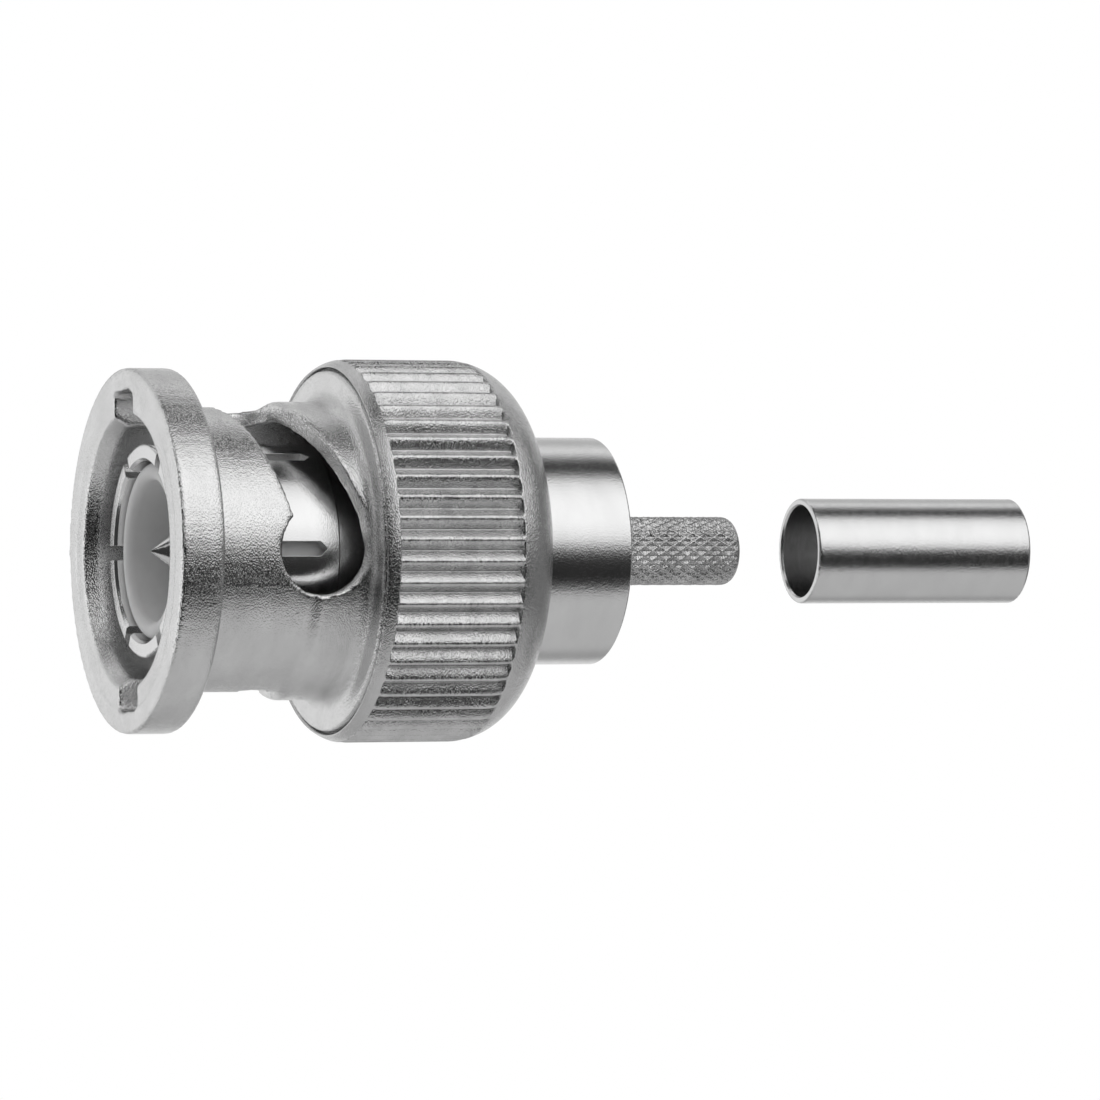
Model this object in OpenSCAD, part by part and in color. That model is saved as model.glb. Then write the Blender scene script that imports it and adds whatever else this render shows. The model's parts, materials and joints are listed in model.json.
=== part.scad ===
// Bayonet cable plug of the crimp type, with its coupling nut and loose crimp ferrule.
// X runs along the axis from the mating face to the cable, and +Z is up. Millimetres.
// Stations along the axis are counted from the front face of the coupling nut.
// The origin lies on the axis, where the slots of the outer contact end.

/* [Contacts] */
// Outside diameter of the slotted outer contact
contact_od = 8.1; // [7:0.05:10]
// Wall of the outer contact at its fingers
contact_wall = 0.65; // [0.4:0.05:0.8]
// Station of the fingers' tips
contact_tip = 0.72; // [0.4:0.02:1.4]
// Station where the slots between the fingers end
slot_root = 6.7; // [5:0.1:9]
// Number of fingers
finger_count = 6; // [3:1:8]
// Width of a slot between two fingers
finger_gap = 0.55; // [0.3:0.05:0.9]
// How far the contact's tail is turned down behind the fingers
tail_relief = 0.17; // [0.16:0.01:0.25]
// Diameter of the centre pin
pin_d = 1.34; // [1:0.02:1.8]
// Station of the centre pin's tip
pin_tip = 1.04; // [0.6:0.02:3]
// Bore of the cable's inner conductor in the centre contact
conductor_bore = 0.62; // [0.4:0.02:0.8]
// Outside diameter of the centre contact's root and crimp barrel
barrel_d = 1.76; // [1.6:0.02:2.2]

/* [Insulators] */
// Wall of the insulator round its recess
insulator_wall = 0.68; // [0.4:0.02:1]
// Station of the insulator's front rim
insulator_front = 0.97; // [0.8:0.01:2]
// Station of the floor of the insulator's recess
recess_floor = 6.4; // [4:0.1:8]

/* [Coupling nut] */
// Radial space between outer contact and nut that takes the rim of the jack
rim_space = 0.85; // [0.7:0.01:1.2]
// Thickness of the front flange along the axis
flange_len = 1.73; // [1.2:0.01:2.4]
// Wall of the front flange outside the bore
flange_wall = 2; // [1.7:0.05:2.8]
// Wall of the neck outside the bore
neck_wall = 0.6; // [0.4:0.05:1]
// How much the collar behind the ramps stands above the neck
collar_rise = 0.17; // [0:0.01:0.3]
// Station where the collar starts
collar_start = 5.7; // [5:0.05:7]
// Station of the shoulder's front face
shoulder_face = 7.93; // [7.9:0.01:9.6]
// Station of the sleeve's rear end, which stops against the plug body's flange
sleeve_end = 10.9; // [10:0.1:13.5]
// Turn of the whole nut about the axis
nut_turn = 3; // [-180:1:180]

/* [Bayonet ramps] */
// Width of the two keyways that let the lugs in
keyway_w = 2.12; // [2:0.02:2.6]
// Depth of a keyway below the nut's bore
keyway_depth = 1.15; // [1:0.05:1.4]
// Station of the entry pocket's centre
entry_mid = 4.6; // [4:0.05:5.2]
// Radius of the entry pocket
entry_r = 1.25; // [1.1:0.05:1.5]
// Turn from the keyway to the seat
ramp_turn = 92.3; // [80:0.1:100]
// Station of the ramp's front edge at the keyway
ramp_front = 2.97; // [2.6:0.01:3.4]
// Rise of the front edge from keyway to seat
front_rise = 2.26; // [1.8:0.01:2.6]
// Station that the rear edge aims back to at the keyway
ramp_back = 5.21; // [4.8:0.01:5.6]
// Rise of the rear edge from keyway to seat
back_rise = 2.86; // [2.4:0.01:3.2]
// Station of the round seat's centre
seat_mid = 6.1; // [5.6:0.05:6.6]
// Radius of the round seat
seat_r = 1.7; // [1.3:0.05:1.8]

/* [Knurled shell] */
// Number of ribs round the grip
rib_count = 56; // [30:1:64]
// Share of the pitch that a rib's flat crest takes
crest_share = 0.14; // [0.1:0.01:0.5]
// Depth of the grooves between the ribs
rib_depth = 0.29; // [0.1:0.01:0.3]
// Wall of the shell outside its counterbore
grip_wall = 0.32; // [0.25:0.01:0.6]
// Width of the plain rim in front of the grooves
rim_width = 0.43; // [0.4:0.01:0.8]
// How far the grooves run on over the rear rounding
groove_over = 0.69; // [0:0.01:0.9]
// Radius of the shell's rounded front rim
rim_round = 1.2; // [0.7:0.05:1.4]
// Radius of the shell's rounded rear shoulder
rear_round = 2.4; // [1.5:0.05:2.6]
// Thickness of the shell's rear wall
rear_wall = 1.4; // [1:0.05:2]

/* [Spring and washers] */
// Height of the pair of wave washers as fitted
spring_height = 1.5; // [1.2:0.05:2]
// Thickness of one wave washer
wave_t = 0.22; // [0.15:0.01:0.3]
// Waves round a wave washer
wave_count = 3; // [2:1:4]
// Thickness of the thrust washer
thrust_t = 0.45; // [0.3:0.05:0.8]
// Thickness of the gasket
gasket_t = 1.15; // [0.8:0.05:1.6]

/* [Plug body] */
// Wall of the body round the outer contact's tail
body_wall = 0.48; // [0.35:0.01:0.6]
// Thickness of the body's flange
body_flange_t = 0.9; // [0.6:0.05:1.4]
// How far the body's flange overlaps the sleeve's end
flange_overlap = 1.1; // [0.8:0.05:1.3]
// Length of the body behind the nut
tail_len = 3.75; // [2.5:0.05:6]
// Diameter of the crimp stub
stub_d = 2.66; // [2.4:0.02:3.2]
// Length of the crimp stub
stub_len = 5.87; // [4:0.05:8]
// Bore for the cable's dielectric
cable_bore = 1.6; // [1.2:0.05:1.9]

/* [Crimp ferrule] */
// Wall of the ferrule
ferrule_wall = 0.27; // [0.2:0.01:0.4]
// Length of the ferrule
ferrule_len = 9.05; // [6:0.05:12]
// Distance from the stub's end to the waiting ferrule
ferrule_away = 2.92; // [0.5:0.02:8]

/* [Fits] */
// Radial gap between the front insulator and the fingers
insulator_gap = 0.05; // [0.02:0.01:0.2]
// Radial space between stub and ferrule that takes the cable's braid
braid_space = 0.45; // [0.3:0.05:0.7]
// Radial gap of a pressed seat
seat_gap = 0.01; // [0.005:0.005:0.02]
// Radial gap of a running seat
run_gap = 0.08; // [0.05:0.01:0.1]
// Clearance between loose parts
free_gap = 0.2; // [0.1:0.02:0.3]

/* [Hidden] */
$fn = 96;
eps = 0.01;

// Radii, from the outer contact outwards
contact_r = contact_od / 2;
contact_in = contact_r - contact_wall;
root_r = contact_r - tail_relief;
bore_r = contact_r + rim_space;
neck_r = bore_r + neck_wall;
collar_r = neck_r + collar_rise;
flange_r = bore_r + flange_wall;
body_flange_r = bore_r + flange_overlap;
cavity_r = body_flange_r + free_gap;
sleeve_tail_r = cavity_r - seat_gap;
lip_rise = 0.68;
lip_r = cavity_r + lip_rise;
seam_gap = 0.1;
counterbore_r = lip_r + seam_gap;
grip_r = counterbore_r + grip_wall;
body_r = root_r + seat_gap + body_wall;

// Stations, from the front of the nut to the cable
lip_len = 0.42;
shell_front = shoulder_face + 0.06;
groove_start = shell_front + rim_width;
finger_end = slot_root + 0.5;
trap_station = slot_root + 3.3;
body_front = sleeve_end;
body_flange_back = body_front + body_flange_t;
thrust_front = body_flange_back + spring_height;
wall_station = thrust_front + thrust_t;
shell_end = wall_station + rear_wall;
groove_end = shell_end - rear_round + groove_over;
body_end = shell_end + tail_len;
stub_end = body_end + stub_len;
ferrule_front = stub_end + ferrule_away;
contact_end = body_flange_back + 1.2;
bead_front = contact_end + 0.5;
bead_end = bead_front + 2.7;

// The contact's own turn about the axis, and its first slot's angle from its seam
contact_turn = 6.2;
first_slot = 22.5;

// Inner parts
insulator_r = contact_in - insulator_gap;
recess_r = insulator_r - insulator_wall;
trap_in = contact_in + 0.2;
trap_r = trap_in - seat_gap;
bead_seat_r = contact_in;
bead_r = bead_seat_r - seat_gap;
pin_r = pin_d / 2;
barrel_r = barrel_d / 2;
collar_len = 0.7;
pin_collar_r = barrel_r + 0.2;
pin_collar = contact_end - 1;
barrel_end = bead_end - 0.9;
stub_r = stub_d / 2;
cable_r = cable_bore / 2;
passage_r = cable_r + 0.2;
ferrule_in = stub_r + braid_space;
ferrule_r = ferrule_in + ferrule_wall;

// Moves a station so that the origin comes to the end of the slots
module at_station(s) translate([s - slot_root, 0, 0]) children();

// Revolves a profile of radius and station about the X axis
module turned() at_station(0) rotate([0, 90, 0]) rotate_extrude() children();

// Round bar in a profile, from s0 to s1, with its two outer corners rounded
module bar(r, s0, s1, e0 = 0, e1 = 0) {
    translate([0, s0]) square([r - max(e0, e1), s1 - s0]);
    translate([0, s0 + e0]) square([r, s1 - s0 - e0 - e1]);
    if (e0 > 0) translate([r - e0, s0 + e0]) circle(e0);
    if (e1 > 0) translate([r - e1, s1 - e1]) circle(e1);
}

// Ring in a profile
module ring(r0, r1, s0, s1) translate([r0, s0]) square([r1 - r0, s1 - s0]);

// Straight bore in a profile, run out at both ends
module bore(r, s0, s1) translate([-eps, s0]) square([r + eps, s1 - s0]);

// Cone in a profile, as a cut or a solid
module cone(r0, r1, s0, s1) polygon([[0, s0], [r0, s0], [r1, s1], [0, s1]]);

// Concave fillet between a cylinder of radius r and a face at station s
module root_fillet(r, s, f) difference() {
    translate([r - eps, s - f]) square([f + eps, f + eps]);
    translate([r + f, s - f]) circle(f);
}

// Turns a feature built on top so that it points a degrees round the axis
module round_axis(a) rotate([a, 0, 0]) children();

// Stations of a ramp's front and rear edge at angle a from the keyway
function ramp_front_at(a) = ramp_front + front_rise * a / ramp_turn;
function ramp_back_at(a) = min(max(ramp_back + back_rise * a / ramp_turn,
    entry_mid + entry_r - 0.02), seat_mid + seat_r - 0.02);

// Point at station s, radius r and angle a from the top
function on_ring(s, r, a) = [s - slot_root, -r * sin(a), r * cos(a)];

// Cutter for the helical part of a ramp: straight passes, each square to the wall.
// Two passes meet at the neck's surface, and each runs on a little past the other.
module ramp_cutter(passes = 7, overrun = 1.1) {
    step = (ramp_turn - 7) / passes;
    half = neck_r * tan(step / 2) * overrun;
    for (i = [0:passes - 1]) {
        middle = 5 + step * (i + 0.5);
        low = middle - step / 2 * overrun;
        high = middle + step / 2 * overrun;
        round_axis(middle) at_station(0) translate([0, 0, bore_r / 2])
            linear_extrude(collar_r) polygon([
                [ramp_front_at(low), half], [ramp_back_at(low), half],
                [ramp_back_at(high), -half], [ramp_front_at(high), -half]]);
    }
}

// Round pocket cut through the wall from outside, at angle a from the keyway
module pocket(s, r, a) round_axis(a) at_station(s) translate([0, 0, bore_r / 2])
    cylinder(h = collar_r, r = r);

// Outline of the keyway: a slot with rounded corners at its floor
module keyway_outline(corner = 0.35) {
    top = bore_r + keyway_depth;
    translate([-keyway_w / 2, 0]) square([keyway_w, top - corner]);
    translate([-keyway_w / 2 + corner, 0]) square([keyway_w - 2 * corner, top]);
    for (side = [-1, 1]) translate([side * (keyway_w / 2 - corner), top - corner])
        circle(corner);
}

// One bayonet track: keyway, entry pocket, helical ramp and round seat
module bayonet_track() {
    at_station(-1) rotate([90, 0, 90]) linear_extrude(entry_mid + 1) keyway_outline();
    pocket(entry_mid, entry_r, 0);
    ramp_cutter();
    pocket(seat_mid, seat_r, ramp_turn);
}

module bayonet_sleeve() color("silver") round_axis(-nut_turn) difference() {
    turned() difference() {
        union() {
            bar(flange_r, 0, flange_len, 0.08, 0.2);
            bar(neck_r, 0, shoulder_face + 0.1);
            cone(neck_r, collar_r, collar_start, collar_start + 0.3);
            bar(collar_r, collar_start + 0.3, shoulder_face + 0.1);
            root_fillet(collar_r, shoulder_face, 0.55);
            bar(lip_r, shoulder_face, shoulder_face + lip_len, 0.1, 0);
            bar(sleeve_tail_r, shoulder_face + 0.1, sleeve_end, 0, 0.1);
        }
        bore(bore_r, -1, sleeve_end + 1);
        cone(bore_r + 0.36, bore_r, -eps, 0.6);
        bore(bore_r + keyway_depth, -1, 0.05);
    }
    bayonet_track();
    round_axis(180) bayonet_track();
}

// Section of one V-shaped groove, with its floor at the origin
module groove_section() {
    half_pitch = grip_r * sin(180 / rib_count);
    rise = rib_depth + 0.1;
    half = half_pitch * (1 - crest_share) * rise / rib_depth;
    polygon([[0, 0], [half, rise], [-half, rise]]);
}

// Outside of the knurled shell: rounded rim, straight grip and rounded rear shoulder
module shell_profile() {
    rim_mid = shell_front + 0.76;
    round_mid = shell_end - rear_round + 0.1;
    intersection() {
        bar(grip_r, shell_front, shell_end);
        union() {
            translate([grip_r - rim_round, rim_mid]) circle(rim_round);
            bar(grip_r, rim_mid, round_mid);
            translate([grip_r - rear_round, round_mid]) circle(rear_round);
            bar(grip_r - rear_round, shell_front, shell_end);
        }
    }
}

module knurled_shell() color("silver") round_axis(-nut_turn) difference() {
    turned() difference() {
        shell_profile();
        bore(counterbore_r, 0, shoulder_face + lip_len);
        bore(cavity_r, 0, wall_station);
        bore(body_r + run_gap, 0, shell_end + 1);
        cone(body_r + run_gap, body_r + run_gap + 0.12, shell_end - 0.12, shell_end + eps);
    }
    for (i = [0:rib_count - 1]) round_axis(360 * i / rib_count)
        at_station(groove_start) translate([0, 0, grip_r - rib_depth]) rotate([90, 0, 90])
            linear_extrude(groove_end - groove_start) groove_section();
}

module thrust_washer() color("gainsboro") turned() difference() {
    bar(cavity_r - free_gap, thrust_front, wall_station, 0.05, 0.05);
    bore(body_r + run_gap, 0, shell_end);
}

// Wave washer: a flat ring bent into waves along its round, resting on station s
module wave_washer(s, steps = 72) {
    inner = body_r + run_gap + free_gap;
    outer = cavity_r - 1.5 * free_gap;
    lift = (spring_height - 2 * wave_t - 0.03) / 2;
    points = [for (i = [0:steps - 1]) let (a = 360 * i / steps,
        low = s + lift * (1 + sin(wave_count * a))) each [
        on_ring(low, inner, a), on_ring(low, outer, a),
        on_ring(low + wave_t, outer, a), on_ring(low + wave_t, inner, a)]];
    total = 4 * steps;
    faces = [for (i = [0:steps - 1], j = [0:3]) let (
        p = 4 * i + j, q = 4 * i + (j + 1) % 4, next = (p + 4) % total,
        across = (q + 4) % total) each [[p, next, q], [q, next, across]]];
    polyhedron(points, faces);
}

module front_wave_washer() color("goldenrod") wave_washer(body_flange_back);

module rear_wave_washer() color("darkkhaki")
    wave_washer(body_flange_back + wave_t + 0.03);

module gasket() color("firebrick") turned() difference() {
    bar(bore_r - free_gap, body_front - gasket_t, body_front, 0.15, 0);
    bore(root_r + seat_gap, 0, body_front + 1);
}

module plug_body() color("silver") turned() difference() {
    union() {
        bar(body_flange_r, body_front, body_flange_back, 0.08, 0.08);
        bar(body_r, body_front, body_end, 0, 0.16);
        bar(stub_r + 0.12, body_end - 1, body_end + 0.35, 0, 0.08);
        bar(stub_r, body_end - 1, stub_end, 0, 0.45);
    }
    bore(root_r + seat_gap, 0, contact_end);
    bore(bead_seat_r, 0, bead_end);
    bore(cable_r, 0, stub_end + 1);
    cone(cable_r, cable_r + 0.2, stub_end - 0.2, stub_end + eps);
}

// Plan of a slot between two fingers, ending in a point
module finger_slot_plan() {
    half = finger_gap / 2;
    length = slot_root - contact_tip;
    polygon([[-1, -half], [length - half, -half], [length, 0], [length - half, half],
        [-1, half]]);
}

module outer_contact() color("silver") round_axis(contact_turn) difference() {
    turned() difference() {
        union() {
            bar(contact_r, contact_tip, finger_end, 0.12, 0.05);
            bar(root_r, finger_end - 1, contact_end, 0, 0.05);
        }
        bore(contact_in, 0, contact_end + 1);
        bore(trap_in, trap_station, contact_end + 1);
        cone(contact_in + 0.12, contact_in, contact_tip - eps, contact_tip + 0.12);
    }
    for (i = [0:finger_count - 1]) round_axis(360 * i / finger_count + first_slot)
        at_station(contact_tip) translate([0, 0, contact_in / 2])
            linear_extrude(contact_r) finger_slot_plan();
}

module front_insulator() color("white") turned() difference() {
    union() {
        bar(insulator_r, insulator_front, trap_station + 0.1, insulator_wall / 2, 0);
        bar(trap_r, trap_station, contact_end, 0.05, 0.05);
        ring(insulator_r - insulator_wall, insulator_r - insulator_wall / 2,
            insulator_front + insulator_wall / 2, recess_floor);
        translate([insulator_r - insulator_wall / 2, insulator_front + insulator_wall / 2])
            circle(insulator_wall / 2);
    }
    difference() {
        bore(recess_r + insulator_wall / 2, -1, recess_floor);
        translate([recess_r + insulator_wall / 2, insulator_front + insulator_wall / 2])
            circle(insulator_wall / 2);
        ring(recess_r, recess_r + insulator_wall, insulator_front + insulator_wall / 2,
            recess_floor);
    }
    bore(barrel_r + seat_gap, 0, contact_end);
    bore(pin_collar_r + seat_gap, pin_collar, contact_end + 1);
}

module centre_contact() color("gold") difference() {
    turned() difference() {
        union() {
            polygon([[0, pin_tip], [pin_r * 0.8, pin_tip + 0.68], [pin_r, pin_tip + 0.81],
                [pin_r, recess_floor], [barrel_r, recess_floor],
                [barrel_r, pin_collar], [0, pin_collar]]);
            bar(pin_collar_r, pin_collar, pin_collar + collar_len, 0.08, 0.08);
            bar(barrel_r, pin_collar, barrel_end, 0, 0.08);
        }
        bore(conductor_bore / 2, pin_collar + collar_len + 0.3, barrel_end + 1);
        cone(conductor_bore / 2, conductor_bore / 2 + 0.15, barrel_end - 0.15,
            barrel_end + eps);
    }
    at_station(pin_collar + collar_len + 0.7) cylinder(h = barrel_d, r = 0.22);
}

module rear_insulator() color("white") turned() difference() {
    bar(bead_r, bead_front, bead_end, 0.08, 0.08);
    bore(barrel_r + seat_gap, 0, barrel_end);
    bore(passage_r, barrel_end - 1, bead_end + 1);
}

module crimp_ferrule() color("silver") turned() difference() {
    bar(ferrule_r, ferrule_front, ferrule_front + ferrule_len, 0.1, 0.1);
    bore(ferrule_in, 0, ferrule_front + ferrule_len + 1);
    cone(ferrule_in + 0.06, ferrule_in, ferrule_front - eps, ferrule_front + 0.08);
}

bayonet_sleeve();
knurled_shell();
thrust_washer();
front_wave_washer();
rear_wave_washer();
gasket();
plug_body();
outer_contact();
front_insulator();
centre_contact();
rear_insulator();
crimp_ferrule();
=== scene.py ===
"""A bayonet cable plug with its loose crimp ferrule, in nickel-plated brass and white PTFE.

X runs along the axis from the mating face to the cable, and +Z is up. Lengths here are in
millimetres unless a name ends in _M; a mesh is written in metres. A station counts along the
axis from the front face of the coupling nut, as a turner would measure the plug.
"""
import json
from math import cos, pi, radians, sin, tan

import bmesh
import bpy
import numpy as np
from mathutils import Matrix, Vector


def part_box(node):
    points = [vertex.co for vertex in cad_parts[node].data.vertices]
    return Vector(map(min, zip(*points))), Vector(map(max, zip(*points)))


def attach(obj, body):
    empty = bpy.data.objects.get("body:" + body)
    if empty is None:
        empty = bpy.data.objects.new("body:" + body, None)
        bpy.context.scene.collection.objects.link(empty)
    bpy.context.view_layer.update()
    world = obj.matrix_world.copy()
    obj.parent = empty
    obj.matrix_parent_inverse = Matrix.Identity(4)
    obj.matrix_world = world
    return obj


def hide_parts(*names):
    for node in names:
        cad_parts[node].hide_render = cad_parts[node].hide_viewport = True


MM = 0.001
# How far the two points of a sharp corner lie from it in a turned profile
CORNER = 0.02

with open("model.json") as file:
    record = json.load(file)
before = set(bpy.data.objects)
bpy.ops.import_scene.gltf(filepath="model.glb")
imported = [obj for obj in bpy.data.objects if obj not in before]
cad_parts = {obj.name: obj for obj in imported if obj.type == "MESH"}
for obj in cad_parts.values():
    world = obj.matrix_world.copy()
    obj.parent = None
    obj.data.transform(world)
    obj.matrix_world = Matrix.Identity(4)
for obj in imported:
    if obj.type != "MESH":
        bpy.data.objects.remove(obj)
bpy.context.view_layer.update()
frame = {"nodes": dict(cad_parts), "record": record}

scene = bpy.context.scene
nodes = frame["nodes"]


# ---------------------------------------------------------------- sizes from the frame

def node_span(name):
    """First and last station, and largest radius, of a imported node."""
    low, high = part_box(name)
    return (low.x - front_x) / MM, (high.x - front_x) / MM, high.z / MM


front_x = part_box("bayonet_sleeve")[0].x
shell_front, shell_end, grip_r = node_span("knurled_shell")
body_front, stub_end, body_flange_r = node_span("plug_body")
mounts = {mount["name"]: mount for mount in frame["record"]["mounts"]}
cable_r = mounts["cable_bore"]["dims"]["r_mm"]


# ---------------------------------------------------------------- mesh helpers

def mesh_piece(name, points, faces):
    """A smooth mesh object from corners in millimetres (station, y, z) and its faces."""
    corners = np.asarray(points, float).reshape(-1, 3) * MM
    corners[:, 0] += front_x
    mesh = bpy.data.meshes.new(name)
    mesh.from_pydata(corners.tolist(), [], faces.tolist())
    mesh.polygons.foreach_set("use_smooth", np.ones(len(mesh.polygons), bool))
    mesh.update()
    piece = bpy.data.objects.new(name, mesh)
    scene.collection.objects.link(piece)
    return piece


def ring_faces(rows, columns):
    """Faces of a grid that closes on itself both ways, with the normals pointing outwards."""
    i, j = np.meshgrid(np.arange(rows), np.arange(columns), indexing="ij")
    i2, j2 = (i + 1) % rows, (j + 1) % columns
    quads = np.stack([i * columns + j, i * columns + j2, i2 * columns + j2, i2 * columns + j])
    return quads.reshape(4, -1).T


def revolved(stations, radii, angles):
    """Points of a profile turned about the axis: y = -r sin a and z = r cos a, a from the top.

    stations and radii may be one row per profile point, or a full grid that also varies with a.
    """
    radii = np.broadcast_to(radii, (len(stations), len(angles)))
    stations = np.broadcast_to(np.reshape(stations, (len(stations), -1)), radii.shape)
    return np.stack([stations, -radii * np.sin(angles), radii * np.cos(angles)], axis=-1)


def line(start, end, count):
    """Evenly spaced profile points from start up to, but without, end."""
    return np.linspace(start, end, count, endpoint=False)


def arc(centre, radius, start, end, count):
    """Profile points (station, radius) on an arc; angle 0 points rearwards, 90 outwards."""
    turn = np.radians(np.linspace(start, end, count))
    return np.stack([centre[0] + radius * np.cos(turn), centre[1] + radius * np.sin(turn)], 1)


# ---------------------------------------------------------------- material helpers

# Scales along X, Y and Z: the grain is packed closer along X, and turning lines run round X
GRAIN_SQUEEZE = (2.2, 1, 1)
TURNING_LINES = (1, 0.02, 0.02)


def node_adder(tree):
    """A function that adds a node to a tree: an input is a number, a colour or a socket."""
    def add(kind, inputs=(), **settings):
        node = tree.nodes.new("ShaderNode" + kind)
        for key, value in settings.items():
            setattr(node, key, value)
        for socket, value in dict(inputs).items():
            if isinstance(value, bpy.types.NodeSocket):
                tree.links.new(value, node.inputs[socket])
            else:
                node.inputs[socket].default_value = value
        return node

    return add


def new_material(name):
    """An empty node material: a function that adds a node, and one that ends the material."""
    material = bpy.data.materials.new(name)
    material.use_nodes = True
    tree = material.node_tree
    tree.nodes.clear()
    add = node_adder(tree)
    output = add("OutputMaterial")

    def finish_surface(shader):
        tree.links.new(shader.outputs[0], output.inputs["Surface"])
        return material

    return add, finish_surface


def mixed(add, factor, first, second):
    """A grey or colour between two others, by a factor from 0 to 1."""
    mix = add("Mix", {"Factor": factor}, data_type="RGBA")
    for index, value in ((6, first), (7, second)):
        if isinstance(value, bpy.types.NodeSocket):
            mix.id_data.links.new(value, mix.inputs[index])
        else:
            mix.inputs[index].default_value = (*value, 1)
    return mix.outputs[2]


def spread(add, value, low, high, to_low=0.0, to_high=1.0):
    """A value carried from one range to another, without leaving it."""
    ranged = add("MapRange", {"Value": value, "From Min": low, "From Max": high,
                              "To Min": to_low, "To Max": to_high})
    return ranged.outputs[0]


def object_place(add, scale=(1, 1, 1)):
    """The place on the object in millimetres, with each axis stretched by a scale."""
    place = add("TexCoord").outputs["Object"]
    return add("Mapping", {"Vector": place, "Scale": [part / MM for part in scale]}).outputs[0]


def plated_metal(name, grey, dark, rough, grain_mm, grain, streak=0.0, edge_mm=0.03):
    """Nickel plate: fine grain with pimples makes its sandy bump, and a slow cloud its tone.

    grain_mm is the size of one grain and grain the bump's height. A coarser grain varies the
    roughness. streak adds fine turning lines round the axis, and edge_mm is the radius to
    which the plating rounds sharp edges.
    """
    add, finish_surface = new_material(name)
    in_mm = object_place(add, GRAIN_SQUEEZE)
    fine = add("TexNoise", {"Vector": in_mm, "Scale": 1 / grain_mm, "Detail": 1.0,
                            "Roughness": 0.5}).outputs[0]
    pimples = spread(add, fine, 0.52, 0.68)
    coarse = add("TexNoise", {"Vector": in_mm, "Scale": 0.3 / grain_mm, "Detail": 2.0}).outputs[0]
    cloud = add("TexNoise", {"Vector": in_mm, "Scale": 0.55, "Detail": 3.0}).outputs[0]
    speck = add("TexNoise", {"Vector": in_mm, "Scale": 1.7 / grain_mm, "Detail": 1.0}).outputs[0]
    tone = add("Math", {0: spread(add, cloud, 0.3, 0.7, 0.0, 0.7),
                        1: spread(add, speck, 0.55, 0.75, 0.0, 0.3)}, operation="ADD").outputs[0]
    colour = mixed(add, tone, (grey,) * 3, (dark,) * 3)
    height = add("Math", {0: pimples, 1: 0.35, 2: fine}, operation="MULTIPLY_ADD").outputs[0]
    if streak:
        rings = object_place(add, TURNING_LINES)
        lines = add("TexNoise", {"Vector": rings, "Scale": 14.0, "Detail": 2.0})
        height = add("Math", {0: lines.outputs[0], 1: streak, 2: height},
                     operation="MULTIPLY_ADD").outputs[0]
    rounded = add("Bevel", {"Radius": edge_mm * MM}, samples=6).outputs[0]
    bump = add("Bump", {"Height": height, "Strength": grain, "Distance": grain_mm * MM,
                        "Normal": rounded}).outputs[0]
    metal = add("BsdfPrincipled", {
        "Base Color": colour, "Metallic": 1.0, "Normal": bump,
        "Roughness": spread(add, coarse, 0.3, 0.7, rough * 0.85, rough * 1.2)})
    return finish_surface(metal)


def white_plastic(name):
    """Turned PTFE: waxy white, with faint rings round the axis and soft mottling."""
    add, finish_surface = new_material(name)
    in_mm = object_place(add)
    rings = object_place(add, TURNING_LINES)
    mottle = add("TexNoise", {"Vector": in_mm, "Scale": 1.6, "Detail": 4.0}).outputs[0]
    turned = add("TexNoise", {"Vector": rings, "Scale": 9.0, "Detail": 3.0}).outputs[0]
    colour = mixed(add, spread(add, mottle, 0.35, 0.7), (0.93, 0.93, 0.93), (0.89, 0.89, 0.89))
    rounded = add("Bevel", {"Radius": 0.05 * MM}, samples=6).outputs[0]
    bump = add("Bump", {"Height": turned, "Strength": 0.25, "Distance": 0.02 * MM,
                        "Normal": rounded}).outputs[0]
    plastic = add("BsdfPrincipled", {"Base Color": colour, "Roughness": 0.42, "Normal": bump,
                                     "Specular IOR Level": 0.4})
    return finish_surface(plastic)


def gasket_rubber(name):
    """Silicone rubber with a fine moulded grain: its own very dark brick red, deepened to near
    black by painted shade from the recess it sits in.
    """
    add, finish_surface = new_material(name)
    in_mm = object_place(add)
    grain = add("TexNoise", {"Vector": in_mm, "Scale": 12.0, "Detail": 3.0}).outputs[0]
    # Painted shade: these near-black reds hold the shade inside the nut on top of the rubber's
    # own dark red
    colour = mixed(add, grain, (0.035, 0.016, 0.014), (0.05, 0.022, 0.019))
    bump = add("Bump", {"Height": grain, "Strength": 0.3, "Distance": 0.02 * MM}).outputs[0]
    rubber = add("BsdfPrincipled", {"Base Color": colour, "Roughness": 0.75, "Normal": bump,
                                    "Specular IOR Level": 0.2})
    return finish_surface(rubber)


def spring_bronze(name):
    """Rolled spring bronze: warm metal with long faint scratches."""
    add, finish_surface = new_material(name)
    long_way = object_place(add, (4, 0.4, 4))
    scratch = add("TexNoise", {"Vector": long_way, "Scale": 2.0, "Detail": 4.0}).outputs[0]
    colour = mixed(add, scratch, (0.66, 0.50, 0.30), (0.54, 0.38, 0.22))
    bump = add("Bump", {"Height": scratch, "Strength": 0.3, "Distance": 0.01 * MM}).outputs[0]
    metal = add("BsdfPrincipled", {
        "Base Color": colour, "Metallic": 1.0, "Normal": bump,
        "Roughness": spread(add, scratch, 0.3, 0.7, 0.25, 0.42)})
    return finish_surface(metal)


def paint(piece, material):
    """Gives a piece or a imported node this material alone."""
    piece.data.materials.clear()
    piece.data.materials.append(material)


# ---------------------------------------------------------------- knurled shell

RIB_COUNT = 56
RIB_DEPTH = 0.32
# Rounding of a crest, as a share of half a pitch
RIB_ROUND = 0.3
# Points from a crest to the middle of the next groove, as shares of half a pitch
RIB_POINTS = np.array([0.045, 0.13, 0.22, 0.32, 0.45, 0.62, 0.8, 0.94])
# Angle from the top to the first crest
NUT_TURN = radians(3)
# Plain rim before the grooves, and how far they run on over the rear shoulder
RIM_WIDTH = 0.43
GROOVE_OVER = 0.69
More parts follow.
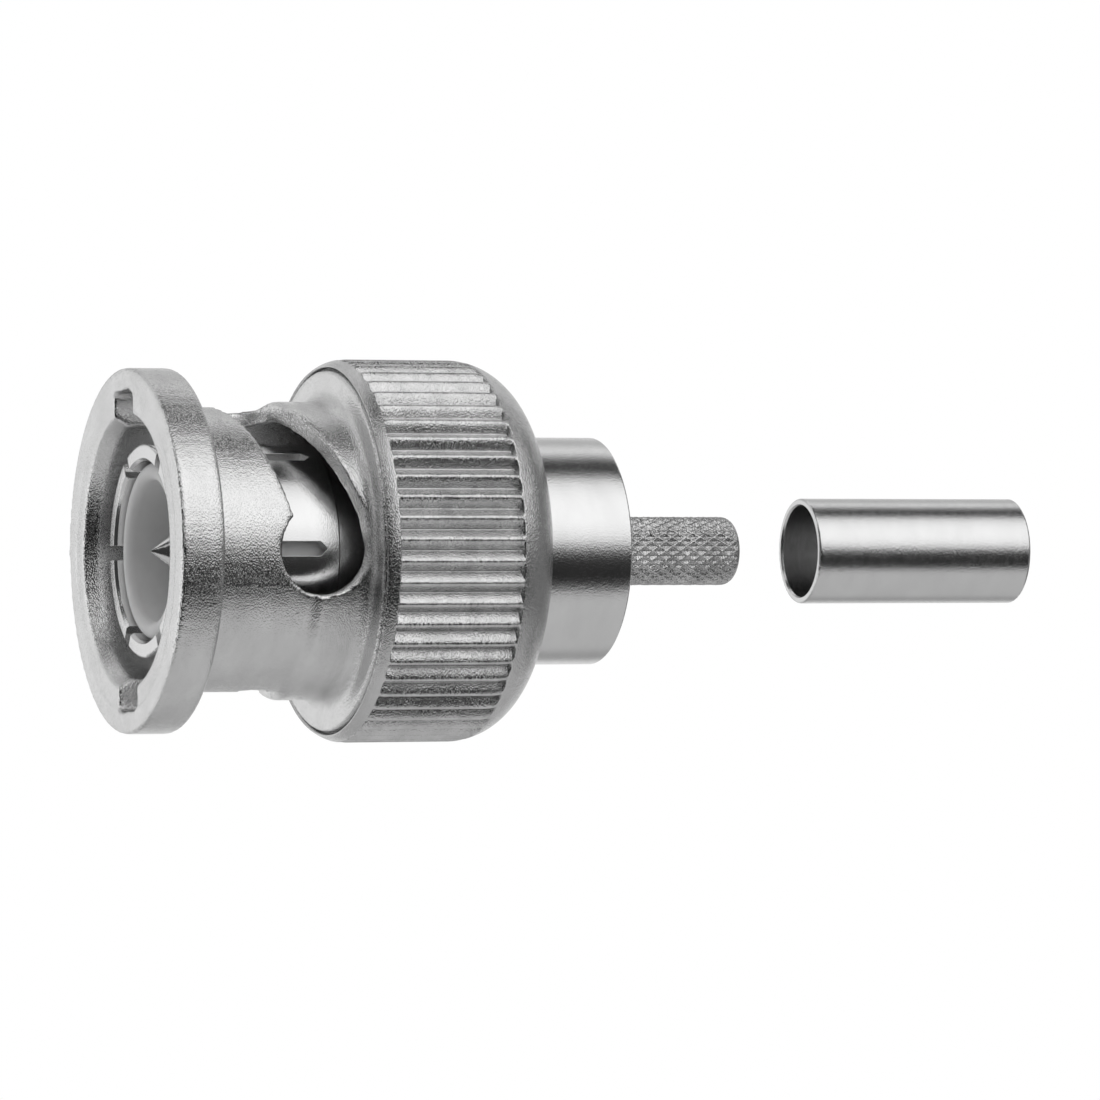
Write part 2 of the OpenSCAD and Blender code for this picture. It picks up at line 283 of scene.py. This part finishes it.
# Length over which a groove closes, and the profile points there: from how far outside its
# end to how far within it, and how many
GROOVE_CLOSE = 0.10
CLOSE_ROWS = (0.06, 0.16, 9)
# Radii of the rim and the rear shoulder, the rim's centre behind the front edge, and how much
# of the shoulder the rear face cuts off
RIM_ROUND = 1.2
REAR_ROUND = 2.4
RIM_CENTRE = 0.76
REAR_CUT = 0.1
# Inside: counterbore behind the front edge, cavity for the springs, hole for the body
COUNTERBORE_R = 6.98
LIP_LEN = 0.36
CAVITY_R = 6.2
REAR_WALL = 1.4
TAIL_HOLE_R = 4.45
TAIL_CHAMFER = 0.1


def shell_profile():
    """Closed profile of the shell, from its front edge along the outside and back inside.

    The outside is an arc at the rim, a straight grip and an arc at the rear shoulder. With the
    profile come the count of its outer points and the stations where the grooves start and end.
    """
    rim_mid = (shell_front + RIM_CENTRE, grip_r - RIM_ROUND)
    rear_mid = (shell_end - REAR_ROUND + REAR_CUT, grip_r - REAR_ROUND)
    rim_start = 90 + np.degrees(np.arcsin(RIM_CENTRE / RIM_ROUND))
    rear_end = np.degrees(np.arccos((REAR_ROUND - REAR_CUT) / REAR_ROUND))
    groove_start = shell_front + RIM_WIDTH
    groove_end = shell_end - REAR_ROUND + GROOVE_OVER
    rim = arc(rim_mid, RIM_ROUND, rim_start, 90, 16)[:-1]
    grip = line((rim_mid[0], grip_r), (rear_mid[0], grip_r), 8)
    rear = arc(rear_mid, REAR_ROUND, 90, rear_end, 30)
    wall = shell_end - REAR_WALL
    lip = shell_front + LIP_LEN
    inside = np.concatenate([
        line((shell_end, rear[-1, 1] - 2 * CORNER), (shell_end, TAIL_HOLE_R + TAIL_CHAMFER), 4),
        line((shell_end - TAIL_CHAMFER, TAIL_HOLE_R), (wall, TAIL_HOLE_R), 4),
        line((wall, TAIL_HOLE_R + CORNER), (wall, CAVITY_R - CORNER), 4),
        line((wall - CORNER, CAVITY_R), (lip + CORNER, CAVITY_R), 6),
        line((lip, CAVITY_R + CORNER), (lip, COUNTERBORE_R - CORNER), 3),
        line((lip - CORNER, COUNTERBORE_R), (shell_front, COUNTERBORE_R), 3)])
    outside = np.concatenate([rim, grip, rear])
    before, within, count = CLOSE_ROWS
    extra = np.concatenate([np.linspace(groove_start - before, groove_start + within, count),
                            np.linspace(groove_end - within, groove_end + before, count)])
    radius = np.interp(extra, outside[:, 0], outside[:, 1])
    outside = np.concatenate([outside, np.stack([extra, radius], 1)])
    outside = outside[np.argsort(outside[:, 0], kind="stable")]
    return np.concatenate([outside, inside]), len(outside), groove_start, groove_end


def ribbed_shell():
    """The knurled shell: a turned profile whose outside sinks into rounded V grooves.

    Across one pitch, u from -1 to 1 with the crest at 0, the depth is a hyperbola
    (sqrt(u^2 + c^2) - c) / (sqrt(1 + c^2) - c): a small rounding at the crest and nearly
    straight flanks. A smooth step at either end closes the grooves.
    """
    profile, outer_count, start, end = shell_profile()
    spacing = np.concatenate([[-1], -RIB_POINTS[::-1], RIB_POINTS])
    pitch = 2 * pi / RIB_COUNT
    crests = np.arange(RIB_COUNT) * pitch
    angles = (crests[:, None] + (spacing * pitch / 2)[None, :]).ravel() + NUT_TURN
    u = np.tile(spacing, RIB_COUNT)
    groove = (np.sqrt(u**2 + RIB_ROUND**2) - RIB_ROUND) / (np.sqrt(1 + RIB_ROUND**2) - RIB_ROUND)
    station = profile[:, 0]
    steps = [np.clip(inside / GROOVE_CLOSE, 0, 1) for inside in (station - start, end - station)]
    ends = np.prod([s * s * (3 - 2 * s) for s in steps], axis=0)
    ends[outer_count:] = 0
    radii = profile[:, 1][:, None] - RIB_DEPTH * ends[:, None] * groove[None, :]
    points = revolved(station, radii, angles)
    return mesh_piece("shell_with_ribs", points, ring_faces(*radii.shape))


# ---------------------------------------------------------------- cast coupling sleeve

# Cell of the lattice, and how often its points are drawn towards their neighbours
EDGE_CELL = 0.108
EDGE_PASSES = 3
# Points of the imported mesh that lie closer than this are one
MERGE_MM = 0.002


def rounded_copy(name, node):
    """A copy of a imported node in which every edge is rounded, as casting and plating leave it.

    The copy is merged and cut anew on a fine lattice. Each point then goes to the nearest place
    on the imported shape, and is drawn a few times half way to the mean of its neighbours, which
    rounds an edge and leaves a wide surface as it is.
    """
    mesh = nodes[node].data.copy()
    merged = bmesh.new()
    merged.from_mesh(mesh)
    bmesh.ops.remove_doubles(merged, verts=merged.verts, dist=MERGE_MM * MM)
    bmesh.ops.scale(merged, vec=(1 / MM,) * 3, verts=merged.verts)
    merged.to_mesh(mesh)
    merged.free()
    packed, cut = [bpy.data.objects.new(name + part, mesh) for part in ("_packed", "_cut")]
    for helper in (packed, cut):
        scene.collection.objects.link(helper)
    lattice = cut.modifiers.new("lattice", "REMESH")
    lattice.mode = "VOXEL"
    lattice.voxel_size = EDGE_CELL
    wrap = cut.modifiers.new("wrap", "SHRINKWRAP")
    wrap.target = packed
    soften = cut.modifiers.new("soften", "SMOOTH")
    soften.factor = 0.5
    soften.iterations = EDGE_PASSES
    done = cut.evaluated_get(bpy.context.evaluated_depsgraph_get())
    finished = bpy.data.meshes.new_from_object(done)
    for helper in (packed, cut):
        bpy.data.objects.remove(helper)
    corners = np.empty(len(finished.vertices) * 3)
    finished.vertices.foreach_get("co", corners)
    finished.vertices.foreach_set("co", corners * MM)
    finished.polygons.foreach_set("use_smooth", np.ones(len(finished.polygons), bool))
    finished.update()
    piece = bpy.data.objects.new(name, finished)
    scene.collection.objects.link(piece)
    return piece


# ---------------------------------------------------------------- plug body and crimp stub

# Flange inside the nut, and where its front face starts
FLANGE_LEN = 0.9
FLANGE_ROUND = 0.08
FACE_START_R = 4.0
# Plain tail, its rear face as counted from the flange's front, and its rear edge's radius
BODY_R = 4.37
BODY_LEN = 8.0
BODY_EDGE = 0.09
# Crimp stub and the radius of its domed end
STUB_R = 1.33
STUB_DOME = 0.45
# Inside: the contact's seat and the rear bead's seat, each with its depth
SEAT_R = 3.89
SEAT_DEPTH = 2.1
BEAD_R = 3.4
BEAD_DEPTH = 5.3
# Knurl: ridges in each family, their slant to the axis, height, sharpness and columns
DIAMOND_STARTS = 22
DIAMOND_SLANT = radians(33)
DIAMOND_RISE = 0.11
DIAMOND_POWER = 1.6
DIAMOND_COLUMNS = 13
# Plain length at either end of the knurl, and the lengths over which it rises and falls
KNURL_PLAIN = 0.12
KNURL_START = 0.15
KNURL_END = 0.3


def body_profile():
    """Closed profile of the body: flange, plain tail, knurled stub with a domed end, bores.

    With it come the counts of the points before the stub and on it, and the body's rear face.
    """
    flange_back = body_front + FLANGE_LEN
    flange_mid = body_flange_r - FLANGE_ROUND
    body_end = body_front + BODY_LEN
    edge_mid = (body_end - BODY_EDGE, BODY_R - BODY_EDGE)
    outside = np.concatenate([
        line((body_front, FACE_START_R), (body_front, flange_mid), 5),
        arc((body_front + FLANGE_ROUND, flange_mid), FLANGE_ROUND, 180, 90, 5),
        arc((flange_back - FLANGE_ROUND, flange_mid), FLANGE_ROUND, 90, 0, 5),
        line((flange_back, flange_mid - 2 * CORNER), (flange_back, BODY_R), 4),
        line((flange_back, BODY_R), (edge_mid[0], BODY_R), 16),
        arc(edge_mid, BODY_EDGE, 90, 0, 9),
        line((body_end, edge_mid[1] - 5 * CORNER), (body_end, STUB_R + 2.5 * CORNER), 8)])
    dome_mid = (stub_end - STUB_DOME, STUB_R - STUB_DOME)
    stub = np.concatenate([
        line((body_end + CORNER, STUB_R), (dome_mid[0], STUB_R), 150),
        arc(dome_mid, STUB_DOME, 90, 8, 14)])
    bead_seat = body_front + BEAD_DEPTH
    contact_seat = body_front + SEAT_DEPTH
    inside = np.concatenate([
        line((stub_end, dome_mid[1] - CORNER / 2), (stub_end, cable_r + 2 * CORNER), 3),
        line((stub_end - 2 * CORNER, cable_r), (bead_seat, cable_r), 6),
        line((bead_seat, cable_r + CORNER), (bead_seat, BEAD_R - CORNER), 4),
        line((bead_seat - CORNER, BEAD_R), (contact_seat + CORNER, BEAD_R), 4),
        line((contact_seat, BEAD_R + CORNER), (contact_seat, SEAT_R - CORNER), 2),
        line((contact_seat - CORNER, SEAT_R), (body_front, SEAT_R), 4)])
    return np.concatenate([outside, stub, inside]), len(outside), len(stub), body_end


def turned_body(plain, knurled):
    """The body in one turned piece with its crimp stub, each with its own finish.

    The stub's knurl is two families of helical ridges that cross. Across a family the distance
    runs from 0 in a hollow to 1 on a ridge, and its power is the ridge's height. The larger of
    the two heights counts, which leaves diamond-shaped hollows between the ridges.
    """
    profile, outer_count, stub_count, body_end = body_profile()
    angles = np.linspace(0, 2 * pi, DIAMOND_STARTS * DIAMOND_COLUMNS, endpoint=False)
    station = profile[:, 0][:, None]
    lead = 2 * pi * STUB_R / tan(DIAMOND_SLANT)
    turns = angles[None, :] / (2 * pi) * DIAMOND_STARTS
    along = (station - body_end) / lead * DIAMOND_STARTS
    families = [np.abs(((turns + along) % 1) * 2 - 1), np.abs(((turns - along) % 1) * 2 - 1)]
    ridge = np.maximum(*[across**DIAMOND_POWER for across in families])
    fade = np.clip((station - body_end - KNURL_PLAIN) / KNURL_START, 0, 1)
    fade = fade * np.clip((stub_end - KNURL_PLAIN - station) / KNURL_END, 0, 1)
    on_stub = np.zeros((len(profile), 1))
    on_stub[outer_count:outer_count + stub_count] = 1
    radii = profile[:, 1][:, None] + (ridge - 1) * DIAMOND_RISE * fade * on_stub
    points = revolved(profile[:, 0], radii, angles)
    piece = mesh_piece("body_with_stub", points, ring_faces(*radii.shape))
    for material in (plain, knurled):
        piece.data.materials.append(material)
    row = np.arange(len(profile))
    knurled_rows = (row >= outer_count - 1) & (row < outer_count + stub_count)
    finish = np.repeat(knurled_rows, len(angles)).astype(np.int32)
    piece.data.polygons.foreach_set("material_index", finish)
    return piece


# ---------------------------------------------------------------- studio

# The camera's turn, lens, and place from the mating face: back along its view, aside and up
VIEW_TURN = radians(-21.5)
LENS = 230.1
SENSOR = 36
CAMERA_BACK_M = 0.2646
CAMERA_ASIDE_M = 0.01603
CAMERA_UP_M = 0.00004
# The light tent's radius and half length, and its spacing of corners on the wall and the ends
TENT_RADIUS_M = 0.34
TENT_HALF_M = 0.42
WALL_ROWS = 43
WALL_DEGREES = 2.0
END_ROWS = 35
# Levels of the front and the rear cloth on the near and the far side, and the fade between
END_LEVELS = ((0.04, 1.05), (0.20, 0.20))
END_FADE_M = (-0.02, 0.05)
# The dark cloth: its level, where it starts along the tent and about it, and its soft edges
SHADE_LEVEL = 0.06
SHADE_START_M = -0.12
SHADE_SOFT_M = 0.06
SHADE_ANGLE = 72
SHADE_SOFT_ANGLE = 12
# The floor's half width, and how far it lies under the tent
FLOOR_HALF_M = 3.0
FLOOR_DROP_M = 0.06


def set_camera():
    """The camera looks level, turned to the mating side so that the nut's bore shows."""
    camera = bpy.data.cameras.new("camera")
    camera.lens = LENS
    camera.sensor_width = SENSOR
    camera.clip_start = 0.01
    camera.clip_end = 20
    holder = bpy.data.objects.new("camera", camera)
    scene.collection.objects.link(holder)
    ahead = np.array([-sin(VIEW_TURN), cos(VIEW_TURN), 0])
    right = np.array([cos(VIEW_TURN), sin(VIEW_TURN), 0])
    face = np.array([front_x, 0, CAMERA_UP_M])
    holder.location = face - ahead * CAMERA_BACK_M + right * CAMERA_ASIDE_M
    holder.rotation_euler = (pi / 2, 0, VIEW_TURN)
    scene.camera = holder


def tent_level(angle):
    """How bright the light tent is at an angle about the axis, in degrees.

    0 points level to the near side and 90 straight up. A wide soft light covers 5 to 78, with
    a dark strip over it and a dark strip under it; the rest is a mid grey below and pale behind.
    """
    stops = np.array([
        (-180, 0.82), (-165, 0.8), (-152, 0.7), (-143, 0.35), (-128, 0.35), (-118, 0.5),
        (-50, 0.53), (-44, 0.5), (-36, 0.05), (-28, 0.02), (-10, 0.03), (-2, 0.08), (4, 0.4),
        (10, 0.85), (18, 1.0), (30, 1.14), (52, 1.12), (66, 0.98), (76, 0.8), (84, 0.12),
        (90, 0.05), (101, 0.05), (109, 0.25), (118, 0.85), (126, 0.8), (137, 0.5), (150, 0.5),
        (165, 0.75), (180, 0.82)])
    return np.interp(angle, stops[:, 0], stops[:, 1])


def tent_shade(angle, along):
    """What part of the tent's light is left at an angle, along metres behind the mating face.

    A dark cloth hangs in front and to the near side: its edges are soft steps in both ways.
    """
    ahead = np.clip((SHADE_START_M - along) / SHADE_SOFT_M, 0, 1)
    beside = np.clip((SHADE_ANGLE - np.abs(angle)) / SHADE_SOFT_ANGLE, 0, 1)
    return 1 - (1 - SHADE_LEVEL) * ahead * beside


def tent_part(name, corners, faces, levels):
    """One cloth of the tent, which glows by its corners' levels and hides from the camera."""
    mesh = bpy.data.meshes.new(name)
    mesh.from_pydata(corners.tolist(), [], faces)
    level = mesh.attributes.new("level", "FLOAT", "POINT")
    level.data.foreach_set("value", levels)
    part = bpy.data.objects.new(name, mesh)
    scene.collection.objects.link(part)
    add, finish_surface = new_material(name)
    glow = add("Emission", {"Strength": add("Attribute", attribute_name="level").outputs["Fac"]})
    part.data.materials.append(finish_surface(glow))
    part.visible_camera = False


def grid_faces(rows, columns):
    """Faces of an open grid of corners, row by row."""
    i, j = np.meshgrid(np.arange(rows - 1), np.arange(columns - 1), indexing="ij")
    corner = i * columns + j
    quads = np.stack([corner, corner + 1, corner + columns + 1, corner + columns])
    return quads.reshape(4, -1).T.tolist()


def light_tent():
    """A round tunnel of cloth about the axis, closed at either end.

    The cloth in front is dark on the near side and bright on the far side.
    """
    angles = np.radians(np.arange(-180, 180 + WALL_DEGREES, WALL_DEGREES))
    across = TENT_RADIUS_M * np.stack([-np.cos(angles), np.sin(angles)], axis=1)
    along = np.linspace(-TENT_HALF_M, TENT_HALF_M, WALL_ROWS)
    rows = np.array([np.insert(across, 0, x, axis=1) for x in along])
    degrees = np.degrees(angles)
    levels = tent_level(degrees) * tent_shade(degrees, along[:, None])
    wall = grid_faces(len(along), len(angles))
    tent_part("tent_wall", rows.reshape(-1, 3), wall, levels.ravel())
    side = np.linspace(-TENT_RADIUS_M, TENT_RADIUS_M, END_ROWS)
    y, z = [axis.ravel() for axis in np.meshgrid(side, side, indexing="ij")]
    square = grid_faces(END_ROWS, END_ROWS)
    for name, x, cloth in zip(("tent_front", "tent_rear"), along[[0, -1]], END_LEVELS):
        levels = np.interp(y, END_FADE_M, cloth)
        tent_part(name, np.stack([np.full(y.shape, x), y, z], 1), square, levels)


def pale_floor():
    """A wide pale floor well under the plug, white where the camera or a reflection sees it."""
    half, level = FLOOR_HALF_M, -TENT_RADIUS_M - FLOOR_DROP_M
    corners = [(x * half, y * half, level) for x, y in ((-1, -1), (1, -1), (1, 1), (-1, 1))]
    mesh = bpy.data.meshes.new("floor")
    mesh.from_pydata(corners, [], [(0, 1, 2, 3)])
    floor = bpy.data.objects.new("floor", mesh)
    scene.collection.objects.link(floor)
    add, finish_surface = new_material("pale_floor")
    cloth = add("BsdfDiffuse", {"Color": (0.8, 0.8, 0.8, 1)})
    white = add("Emission", {"Color": (1, 1, 1, 1), "Strength": 1.0})
    seen = add("MixShader", {0: seen_directly(add), 1: cloth.outputs[0], 2: white.outputs[0]})
    floor.data.materials.append(finish_surface(seen))


def seen_directly(add):
    """1 where the camera, a reflection or a clear material looks, else 0."""
    path = add("LightPath")
    either = add("Math", {0: path.outputs["Is Camera Ray"], 1: path.outputs["Is Glossy Ray"]},
                 operation="MAXIMUM").outputs[0]
    return add("Math", {0: either, 1: path.outputs["Is Transmission Ray"]},
               operation="MAXIMUM").outputs[0]


def white_world():
    """White wherever it is seen, and a soft grey where it only lights."""
    world = bpy.data.worlds.new("studio")
    scene.world = world
    world.use_nodes = True
    tree = world.node_tree
    tree.nodes.clear()
    add = node_adder(tree)
    strength = spread(add, seen_directly(add), 0.0, 1.0, 0.8, 1.0)
    background = add("Background", {"Color": (1, 1, 1, 1), "Strength": strength})
    add("OutputWorld", {"Surface": background.outputs[0]})


# ---------------------------------------------------------------- assembly

scene.view_settings.view_transform = "Standard"
set_camera()
white_world()
light_tent()
pale_floor()

nut_metal = plated_metal("satin_nickel", 0.82, 0.70, 0.15, 0.075, 0.28, edge_mm=0.06)
shell_metal = plated_metal("knurled_nickel", 0.76, 0.60, 0.16, 0.075, 0.30)
body_metal = plated_metal("polished_nickel", 0.82, 0.75, 0.15, 0.075, 0.10, streak=0.03)
stub_metal = plated_metal("stub_nickel", 0.76, 0.50, 0.22, 0.09, 0.4)
contact_metal = plated_metal("contact_nickel", 0.84, 0.78, 0.14, 0.08, 0.06, streak=0.05)
ferrule_metal = plated_metal("tube_nickel", 0.80, 0.74, 0.21, 0.08, 0.09)
washer_metal = plated_metal("washer_nickel", 0.76, 0.66, 0.25, 0.15, 0.15)
ptfe = white_plastic("white_ptfe")
# The gasket's rubber has painted shade in its near-black colour
rubber = gasket_rubber("dark_rubber_painted_shade")
bronze = spring_bronze("spring_bronze")

sleeve = rounded_copy("cast_sleeve", "bayonet_sleeve")
paint(sleeve, nut_metal)
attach(sleeve, "coupling_nut")
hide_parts("bayonet_sleeve")

shell = ribbed_shell()
paint(shell, shell_metal)
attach(shell, "coupling_nut")
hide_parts("knurled_shell")

body = turned_body(body_metal, stub_metal)
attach(body, "plug")
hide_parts("plug_body")

for name, material in {
        "thrust_washer": washer_metal,
        "front_wave_washer": bronze, "rear_wave_washer": bronze, "gasket": rubber,
        "outer_contact": contact_metal, "front_insulator": ptfe, "centre_contact": contact_metal,
        "rear_insulator": ptfe, "crimp_ferrule": ferrule_metal}.items():
    paint(nodes[name], material)
